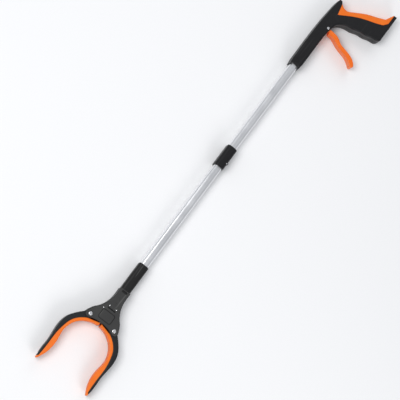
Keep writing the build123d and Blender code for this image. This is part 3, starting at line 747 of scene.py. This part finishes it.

# %% [markdown]
# ### Return spring
# The spring that opens the jaws is a wire coil with a flat closed turn at each end. It is
# pressed towards the handle as the crosshead is drawn back; here it keeps its rest length.

# %% Coil spring
spring_wire = 0.00045
coil = Grower(
    "coil_spring", length=0.0303, coil_radius=0.0036, wire_radius=spring_wire, turns=7.0, steps=40
)
free = coil.maths("SUBTRACT", "length", coil.maths("MULTIPLY", "wire_radius", 2.0))
helix = coil.node(
    "CurveSpiral", Resolution="steps", Rotations="turns", Start_Radius="coil_radius",
    End_Radius="coil_radius", Height=free,
).outputs[0]
wire_section = coil.node(
    "CurvePrimitiveCircle", Resolution=10, Radius="wire_radius"
).outputs["Curve"]
closing = coil.node("CurvePrimitiveCircle", Resolution=48, Radius="coil_radius").outputs["Curve"]
far = coil.node("Transform", Geometry=closing, Translation=coil.vector(z=free)).outputs[0]
coiled = coil.node(
    "CurveToMesh", Curve=coil.joined(helix, closing, far), Profile_Curve=wire_section,
    Fill_Caps=True,
).outputs[0]
coil.finish(coil.node("Transform", Geometry=coiled, Rotation=(0, math.pi / 2, 0)).outputs[0])

low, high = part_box("return_spring")
spring = coil.grow("jaw_return_spring", points(), cable_steel, length=high.x - low.x)
spring.data.transform(Matrix.Translation((low.x + spring_wire, 0, axis_z)))
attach(spring, "front")
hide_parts("return_spring")
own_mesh(spring)

# %% [markdown]
# ### Studs and bosses on the head
# The head's cover carries a few small things: bright stud ends beside the bar and the panel,
# and two low ringed bosses up the neck. Each kind is one profile instanced on points.

# %% Studs
studs = Grower("studs", radius=0.0010, rise=0.0005, sides=28)
ball = studs.node(
    "MeshUVSphere", Segments="sides", Rings=12, Radius="radius"
).outputs["Mesh"]
squashed = studs.node(
    "Transform", Geometry=ball,
    Scale=studs.vector(1.0, 1.0, studs.maths("DIVIDE", "rise", "radius")),
).outputs[0]
studs.finish(studs.node("InstanceOnPoints", Points=studs.start, Instance=squashed).outputs[0])

stud_places = [(28.4, 6.4), (28.4, -6.4), (20.2, 12.6)]
cover_points = [
    Vector((arms_x + x * MM, y * MM, top_z)) for x, y in stud_places
]
settle(
    studs.grow("head_studs", points(*cover_points), rivet_steel), "front", "bright_steel"
)

bosses = Grower("ringed_bosses", ring_radius=0.0016, bead_radius=0.00035, sides=36)
circle = bosses.node(
    "CurvePrimitiveCircle", Resolution="sides", Radius="ring_radius"
).outputs["Curve"]
bead = bosses.node("CurvePrimitiveCircle", Resolution=10, Radius="bead_radius").outputs["Curve"]
ringed = bosses.node("CurveToMesh", Curve=circle, Profile_Curve=bead).outputs[0]
bosses.finish(bosses.node("InstanceOnPoints", Points=bosses.start, Instance=ringed).outputs[0])
boss_points = [Vector((arms_x + x * MM, 0, top_z)) for x in (36.0, 46.2)]
settle(bosses.grow("head_bosses", points(*boss_points), head_plastic), "front", "head_plastic")

# %% [markdown]
# ### Parting lines
# Where two moulded halves meet, a real tool has a hairline bead right round its edge. The
# line is read from the model: it is every edge at the axis height that joins a flat joint face
# to an upright wall. A thin round bead then follows it.

# %% Parting lines
parting = Grower("parting_bead", bead_radius=0.00022, sides=6)
path = parting.node("MeshToCurve", Mesh=parting.start).outputs[0]
thin_section = parting.node(
    "CurvePrimitiveCircle", Resolution="sides", Radius="bead_radius"
).outputs["Curve"]
parting.finish(
    parting.node("CurveToMesh", Curve=path, Profile_Curve=thin_section).outputs[0]
)


def joint_edges(node):
    """The border of a node's flat joint face, as a mesh of edges."""
    copy = merged_copy(node, node + "_joint")
    form = bmesh.new()
    form.from_mesh(copy.data)
    drop = []
    for edge in form.edges:
        flat = [abs(face.normal.z) > 0.99 for face in edge.link_faces]
        at_joint = all(abs(vert.co.z - axis_z) < 0.00002 for vert in edge.verts)
        if not (at_joint and any(flat) and not all(flat)):
            drop.append(edge)
    bmesh.ops.delete(form, geom=list(form.faces), context="FACES_ONLY")
    bmesh.ops.delete(form, geom=[e for e in drop if e.is_valid], context="EDGES")
    bmesh.ops.delete(form, geom=[v for v in form.verts if not v.link_edges], context="VERTS")
    mesh = bpy.data.meshes.new(node + "_joint_edges")
    form.to_mesh(mesh)
    form.free()
    bpy.data.objects.remove(copy)
    return mesh


for name, node, body, slot, material in (
    ("handle_parting_line", "handle_shell_front", "handle", "handle_plastic", handle_plastic),
    ("head_parting_line", "head_cover", "front", "head_plastic", head_plastic),
):
    settle(parting.grow(name, joint_edges(node), material), body, slot)
